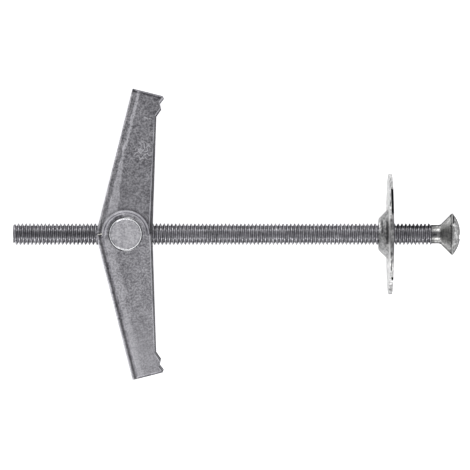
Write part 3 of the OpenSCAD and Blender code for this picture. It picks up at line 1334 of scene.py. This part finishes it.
@dataclass
class FoldedWing:
    """One wing of folded sheet, with rounded cut edges and a coined ear.

    Its own millimetres have X towards the free edge, Y (named u) along the wing and Z along
    the nut, with 0 at the pivot. The outer ear is on the side of negative Z.
    """

    side: Side
    rake: float = WING_RAKE
    sheet: float = 0.7
    inner_z: float = 3.21
    outer_z: float = 4.09
    web_in: float = 4.6
    web_out: float = 5.3
    bend_r: float = 1.2
    edge_x: float = 4.83
    taper: float = 12.25
    shoulder_u: float = 1.2
    ramp_u: float = 22.2
    end_u: float = 26.0
    edge_round: float = 0.15
    edge_segments: int = 8
    # The corners of the two teeth at the end of the free edge.
    first_tooth: tuple[float, float] = (0.58, 23.7)
    valley: tuple[float, float] = (0.1, 24.65)
    last_tooth: tuple[float, float] = (0.58, 25.7)
    # Pairs of distance and depth: across the coined ring, from its inner edge's radius on, and
    # across the rolled and the sheared edges. Slopes near 13 degrees catch light from all round.
    ring: Pairs = (
        (3.42, 0.0),
        (3.60, 0.010),
        (3.80, 0.056),
        (3.93, 0.165),
        (4.04, 0.075),
        (4.32, 0.140),
        (4.60, 0.375),
    )
    roll: Pairs = ((0.0, 0.0), (0.17, 0.039), (0.62, 0.44), (0.9, 0.9))
    sheared: Pairs = ((0.0, 0.0), (0.12, 0.08), (0.29, 0.40), (0.7, 0.95))
    # Angles from X between which the ring is coined, and steps round it.
    ring_from: float = 14.0
    ring_sweep: float = 184.0
    ring_steps: int = 72
    # Widths of the rolled slopes: at the free edge's ends, at the teeth and across the end.
    roll_thin: float = 0.28
    roll_tooth: float = 0.34
    roll_end: float = 0.38
    mitre: float = 0.08
    crease: float = 12.0
    # How deep under a flank its slopes go, and the normal's share of Z on them.
    slope_depth: float = 0.4
    slope_from: float = 0.4
    slope_to: float = 0.9975
    # The torn burr: its radius, its sections and their spacing, and how it leans and jags.
    burr_r: float = 0.075
    burr_roundness: int = 2
    burr_count: int = 12
    burr_step: float = 0.09
    burr_inset: float = 0.04
    burr_y: float = -0.20
    burr_lean: float = 0.022
    burr_jags: Pairs = ((0.04, 2.4), (0.03, 5.1))

    @property
    def body(self) -> str:
        """Name of the body and CAD node of this wing."""
        return f"wing_{self.side.value}"

    @property
    def roll_wide(self) -> float:
        """Width of the free edge's slope at the shoulder."""
        return 0.60 if self.side is Side.UPPER else 0.41

    @property
    def in_bolt(self) -> Matrix:
        """Matrix from the wing's own millimetres to the bolt's."""
        flip = Matrix.Rotation(math.pi if self.side is Side.LOWER else 0.0, 4, "X")
        return TO_NUT @ flip @ Matrix.Rotation(-math.radians(self.rake), 4, "Z")

    def build(self, bolt: BoltFrame) -> Piece:
        """Copies the wing's solid, coins its ear, rolls its free edges and rounds the rest.

        Args:
            bolt: The bolt's axes.

        Returns:
            The wing in the bolt's millimetres.
        """
        wing = copy_node(bolt, self.body, f"folded_{self.body}")
        wing.data.transform(self.in_bolt.inverted())
        round_edges(wing, self.edge_round, self.edge_segments, slot=1)
        use_tool(wing, self.ear_coin())
        faces = {-1: -self.outer_z - self.sheet, 1: self.inner_z + self.sheet}
        for outward, face in faces.items():
            for edge in self.sloped_edges():
                use_tool(wing, self.edge_roller(*edge, face, outward))
        # Numbers of the materials: 0 sheet, 1 worn edge, 2 inside of the fold, 3 coined.
        for polygon in wing.data.polygons:
            x, _, z = polygon.center
            depth = min(abs(z - face) for face in faces.values())
            if x > -self.web_in - WELD and -self.outer_z - WELD < z < self.inner_z + WELD:
                polygon.material_index = 2
            elif x > self.bend_r - self.web_out and depth < self.slope_depth:
                if self.slope_from < abs(polygon.normal.z) < self.slope_to:
                    polygon.material_index = 3
        wing.data.transform(self.in_bolt)
        smooth(wing, self.crease)
        return wing

    def ear_coin(self) -> Piece:
        """Turns the die that coins the round part of the outer ear.

        Returns:
            A part of a ring, in the wing's own millimetres.
        """
        face = -self.outer_z - self.sheet
        above = [(self.ring[-1][0], -TOOL_REACH), (self.ring[0][0], -TOOL_REACH)]
        first, sweep = math.radians(self.ring_from), math.radians(self.ring_sweep)
        spoke = Vector((math.cos(first), math.sin(first), 0.0))
        section = [spoke * r + Vector((0, 0, face + depth)) for r, depth in [*self.ring, *above]]
        coin = fill_section("coin", section)
        bpy.ops.mesh.spin(steps=self.ring_steps, angle=sweep, center=(0, 0, 0), axis=AXIS_Z)
        end_edit()
        close_mesh(coin)
        return coin

    def sloped_edges(self) -> list[tuple]:
        """Lists the sloped edges of a flank.

        The lower wing's edges are all rolled blunt; on the upper one, the teeth and the end
        are left as the shear cut them.

        Returns:
            Slope, start, end, widths and reach of each, as edge_roller takes them.
        """
        fall = math.tan(math.radians(self.taper))
        shoulder = (self.edge_x - self.shoulder_u * fall, self.shoulder_u)
        ramp = (self.edge_x - self.ramp_u * fall, self.ramp_u)
        corners = ((TOOL_REACH, self.end_u), (-self.web_in, self.end_u))
        section, tooth, end = self.roll, self.roll_tooth, self.roll_end
        if self.side is Side.UPPER:
            section, tooth, end = self.sheared, self.sheared[2][0], self.sheared[2][0]
        wide = (self.roll_wide, self.roll_thin)
        return [
            (self.roll, shoulder, ramp, wide, (TOOL_REACH, self.mitre)),
            (section, ramp, self.first_tooth, (tooth, tooth), (self.mitre, TOOL_REACH)),
            (section, self.valley, self.last_tooth, (tooth, tooth), (0.0, TOOL_REACH)),
            (section, *corners, (end, end), (TOOL_REACH, TOOL_REACH)),
        ]

    def edge_roller(
        self,
        slope: Pairs,
        start: tuple[float, float],
        end: tuple[float, float],
        widths: tuple[float, float],
        reach: tuple[float, float],
        face: float,
        outward: int,
    ) -> Piece:
        """Places the roller that slopes one edge of a flank.

        Args:
            slope: Pairs of distance and depth across the slope.
            start: Where the edge begins, going round the flank against the clock as seen
                along the wing's Z.
            end: Where it ends.
            widths: Widths of the slope at both of these places.
            reach: How far the roller goes beyond them.
            face: Z of the flank's outer face.
            outward: 1 where the face looks along Z and -1 where it looks against it.

        Returns:
            The roller, in the wing's own millimetres.
        """
        first, last = Vector((*start, face)), Vector((*end, face))
        out = (last - first).cross(AXIS_Z).normalized()
        first, last = first - out * widths[0], last - out * widths[1]
        along = (last - first).normalized()
        out = along.cross(AXIS_Z)
        down = Vector((0, 0, -outward))
        above = [(slope[-1][0], -TOOL_REACH), (0.0, -TOOL_REACH)]
        first -= along * reach[0]
        section = [first + out * s + down * depth for s, depth in [*slope, *above]]
        roller = fill_section("edge_roller", section)
        move = {"value": last + along * reach[1] - first}
        bpy.ops.mesh.extrude_region_move(TRANSFORM_OT_translate=move)
        end_edit()
        close_mesh(roller)
        return roller

    def burr(self) -> Piece:
        """Models the bright torn burr along the end of the web.

        Returns:
            The burr in the bolt's millimetres.
        """
        bend_z = self.outer_z + self.sheet - self.bend_r
        route = []
        for i in range(self.burr_count):
            x = self.web_out - self.burr_inset - i * self.burr_step
            rise = max(0.0, x - self.web_out + self.bend_r)
            jag = sum(size * math.sin(beat * i) for size, beat in self.burr_jags)
            y = self.burr_y + self.burr_lean * i + jag
            route.append(Vector((-x, y, bend_z + math.sqrt(self.bend_r**2 - rise**2))))
        return bend_wire("sheared_burr", route, self.burr_r, self.burr_roundness)

    def dress(self, bolt: BoltFrame) -> None:
        """Builds the wing, and the burr on the lower one, and dresses them.

        Args:
            bolt: The bolt's axes.
        """
        to_wing = (bolt.to_row @ self.in_bolt).inverted()
        sheet, coined = SHEETS[self.side].material(to_wing), COINED[self.side].material(to_wing)
        worn_edge, inside = WORN_EDGE.material(bolt.from_row), INSIDE.material(bolt.from_row)
        materials = (sheet, worn_edge, inside, coined)
        finish_piece(bolt, self.build(bolt), self.body, self.body, materials)
        if self.side is Side.LOWER:
            torn = [BURR.material(bolt.from_row)]
            finish_piece(bolt, self.burr(), self.body, self.body, torn)


@dataclass
class TorsionSpring:
    """Double torsion spring: each half turns with the wing that its legs press on."""

    wire_d: float = 0.5
    roundness: int = 3
    coil_r: float = 3.37
    inner_z: float = 2.32
    advance: float = 0.52
    leg_x: float = 4.27
    leg_u: float = 8.0
    wing_rake: float = WING_RAKE
    fold: float = 90 - WING_RAKE
    bridge_r: float = 0.8
    step: float = 15.0
    bend_steps: int = 4

    @property
    def leg_lean(self) -> float:
        """Angle of a leg to the wing's web, in degrees."""
        reach = math.hypot(self.leg_x, self.leg_u)
        return math.degrees(math.acos(self.coil_r / reach) - math.atan2(self.leg_u, self.leg_x))

    def route(self) -> tuple[list[Vector], list[Vector]]:
        """Works out the wire's route on the camera side of the screw.

        Returns:
            The route from the middle of the bridge to the end of the upper half's coil, and
            that from the start of the lower half's coil to the end of its leg.
        """
        turn = self.wing_rake - self.leg_lean
        leg_l = math.sqrt(self.leg_x**2 + self.leg_u**2 - self.coil_r**2)
        start, sweep = 180 - turn, 360 + 2 * turn
        meet = start + sweep / 2

        def coil(angle: float) -> Vector:
            """Returns the point of the coil at an angle in degrees."""
            a, z = math.radians(angle), self.inner_z + self.advance * (angle - start) / 360
            return Vector((self.coil_r * math.cos(a), self.coil_r * math.sin(a), z))

        def turns(first: float, last: float) -> list[Vector]:
            """Returns the coil's points from the first angle to the last."""
            count = math.ceil((last - first) / self.step)
            return [coil(first + (last - first) * i / count) for i in range(count + 1)]

        lean = math.radians(turn)
        up = Vector((math.sin(lean), math.cos(lean), 0.0))
        down = Vector((math.sin(lean), -math.cos(lean), 0.0))
        corner = coil(start) + up * leg_l
        bend = []
        for i in range(self.bend_steps + 1):
            a = math.radians(90 * i / self.bend_steps)
            in_x, in_z = self.bridge_r * (1 - math.cos(a)), self.bridge_r * (1 - math.sin(a))
            bend.append(corner - up * in_x - Vector((0, 0, in_z)))
        bridge = Vector((corner.x, corner.y, 0.0))
        upper = [bridge, *bend, *turns(start, meet + self.fold)]
        lower = [*turns(meet - self.fold, start + sweep), coil(start + sweep) + down * leg_l]
        return upper, lower

    def wire(self, name: str, route: Sequence[Vector]) -> Piece:
        """Bends the spring's wire along a route."""
        return bend_wire(name, route, self.wire_d / 2, self.roundness)

    def build(self) -> dict[Side, Piece]:
        """Models both halves of the spring.

        Returns:
            The half on the upper wing and the half on the lower one.
        """
        upper, lower = self.route()
        back_upper, back_lower = ([Vector((p.x, p.y, -p.z)) for p in r] for r in (upper, lower))
        upper_half = self.wire("spring_bridge_half", [*reversed(back_upper[1:]), *upper])
        legs = [self.wire("spring_leg_front", lower), self.wire("spring_leg_back", back_lower)]
        select_only(*legs)
        bpy.ops.object.join()
        legs[0].name = "spring_leg_half"
        return {Side.UPPER: upper_half, Side.LOWER: legs[0]}

    def dress(self, bolt: BoltFrame) -> None:
        """Builds both halves and dresses each to ride on its wing.

        Args:
            bolt: The bolt's axes.
        """
        for side, half in self.build().items():
            materials = [WIRE.material(bolt.from_row)]
            finish_piece(bolt, half, f"wing_{side.value}", "spring", materials)


# ---------------------------------------------------------------- studio


@dataclass
class Studio:
    """Pale floor, two long soft lights and the camera."""

    bolt: BoltFrame
    # Width of the view at the bolt, and the camera's place, in millimetres.
    frame_width: float = 85.8
    distance: float = 740.0
    look_x: float = 40.46
    look_y: float = -0.155
    sensor: float = 36.0
    clip: tuple[float, float] = (0.01, 20.0)
    floor_drop: float = 0.01
    floor_size: float = 4.0
    floor_colour: str = "#f4f4f5"
    floor_rough: float = 0.9
    floor_glow: float = 0.6
    # Each light's name, its angle from the camera's direction, in degrees and above the screw
    # if positive, and its power in watts; then the lights' distance and size in metres.
    lights: tuple[tuple[str, float, float], ...] = (
        ("soft_light_above", 57.0, 4.5),
        ("soft_light_below", -62.0, 5.0),
    )
    light_reach: float = 1.1
    light_size: tuple[float, float] = (1.2, 0.3)
    # Brightness of the room from the horizon (0) to the zenith (1), on the upper wing's side and
    # on the lower wing's.
    room_above: Pairs = (
        (0.0, 0.16),
        (0.42, 0.18),
        (0.66, 0.27),
        (0.79, 0.30),
        (0.82, 1.00),
        (0.94, 1.00),
        (0.965, 0.50),
        (1.0, 0.48),
    )
    room_below: Pairs = (
        (0.0, 0.17),
        (0.42, 0.19),
        (0.66, 0.42),
        (0.79, 0.55),
        (0.82, 1.40),
        (0.94, 1.40),
        (0.965, 0.66),
        (1.0, 0.62),
    )
    room_turn: float = 0.7
    room_blue: float = 1.02

    def build(self) -> None:
        """Makes the floor, the world, the lights and the camera."""
        self.floor()
        self.world()
        for name, tilt, power in self.lights:
            self.soft_light(name, tilt, power)
        self.camera()

    def floor(self) -> None:
        """Lays a matt pale floor just under the lowest point of the bolt."""
        level = cad_bounds[0].z - self.floor_drop * MM
        floor = add_primitive("plane", size=self.floor_size, location=(0, 0, level))
        floor.name = "pale_floor"
        # Matt paper: a pale ground with no reflections, so light that the bolt's shadow is faint.
        material = bpy.data.materials.new("matt_paper")
        material.use_nodes = True
        paper = {
            "Base Color": linear(self.floor_colour),
            "Roughness": self.floor_rough,
            "Emission Color": (1.0, 1.0, 1.0, 1.0),
            "Emission Strength": self.floor_glow,
        }
        plug(material.node_tree, material.node_tree.nodes["Principled BSDF"], paper)
        floor.data.materials.append(material)

    def world(self) -> None:
        """Gives the room its light: dim overhead at the camera, bright round it, dark walls."""
        world = bpy.data.worlds.new("studio_room")
        world.use_nodes = True
        tree = world.node_tree
        direction = add_node(tree, "TexCoord", output="Generated")
        _, side, height = add_node(tree, "SeparateXYZ", (direction,)).node.outputs
        rooms = []
        for room in (self.room_below, self.room_above):
            ramp = add_node(tree, "ValToRGB", (height,))
            stops = ramp.node.color_ramp.elements
            for place, _ in room[1:-1]:
                stops.new(place)
            for stop, (_, grey) in zip(stops, room):
                stop.color = (grey, grey, grey * self.room_blue, 1.0)
            rooms.append(ramp)
        share = add_node(tree, "MapRange", (side, -self.room_turn, self.room_turn))
        # For colours, the Mix node's inputs are numbers 6 and 7, and its result is number 2.
        mix = {0: share, 6: rooms[0], 7: rooms[1]}
        light = add_node(tree, "Mix", mix, 2, data_type="RGBA")
        plug(tree, tree.nodes["Background"], {"Color": light})
        bpy.context.scene.world = world
        bpy.context.scene.view_settings.view_transform = "Standard"

    def soft_light(self, name: str, tilt: float, power: float) -> None:
        """Hangs a long soft light beside the camera, turned towards the bolt.

        Args:
            name: Name of the light.
            tilt: Angle from the camera's direction, in degrees; above the screw if positive.
            power: Power in watts.
        """
        light = bpy.data.lights.new(name, "AREA")
        light.shape = "RECTANGLE"
        light.size, light.size_y = self.light_size
        light.energy = power
        obj = bpy.data.objects.new(name, light)
        bpy.context.scene.collection.objects.link(obj)
        a, reach = math.radians(tilt), self.light_reach / MM
        obj.location = self.bolt.point(self.look_x, reach * math.sin(a), reach * math.cos(a))
        to_bolt = self.bolt.point(self.look_x, 0, 0) - obj.location
        obj.rotation_euler = to_bolt.to_track_quat("-Z", "Y").to_euler()

    def camera(self) -> None:
        """Sets the camera square to the wings, at the distance that gives the view its depth."""
        data = bpy.data.cameras.new("camera")
        data.sensor_width = self.sensor
        data.lens = self.sensor * self.distance / self.frame_width
        data.clip_start, data.clip_end = self.clip
        obj = bpy.data.objects.new("camera", data)
        bpy.context.scene.collection.objects.link(obj)
        obj.rotation_mode = "QUATERNION"
        obj.rotation_quaternion = self.bolt.to_row.to_quaternion()
        obj.location = self.bolt.point(self.look_x, self.look_y, self.distance)
        bpy.context.scene.camera = obj


# ---------------------------------------------------------------- main


def main() -> None:
    """Sets up the studio and builds and dresses each sub-assembly in turn."""
    logging.basicConfig(level=logging.INFO, format="%(name)s: %(message)s")
    bolt = BoltFrame.from_joints(frame["joints"])
    Studio(bolt).build()
    wings = (FoldedWing(side) for side in Side)
    for part in (MachineScrew(), DishedWasher(), BarrelNut(), TorsionSpring(), *wings):
        part.dress(bolt)


if __name__ == "__main__":
    main()
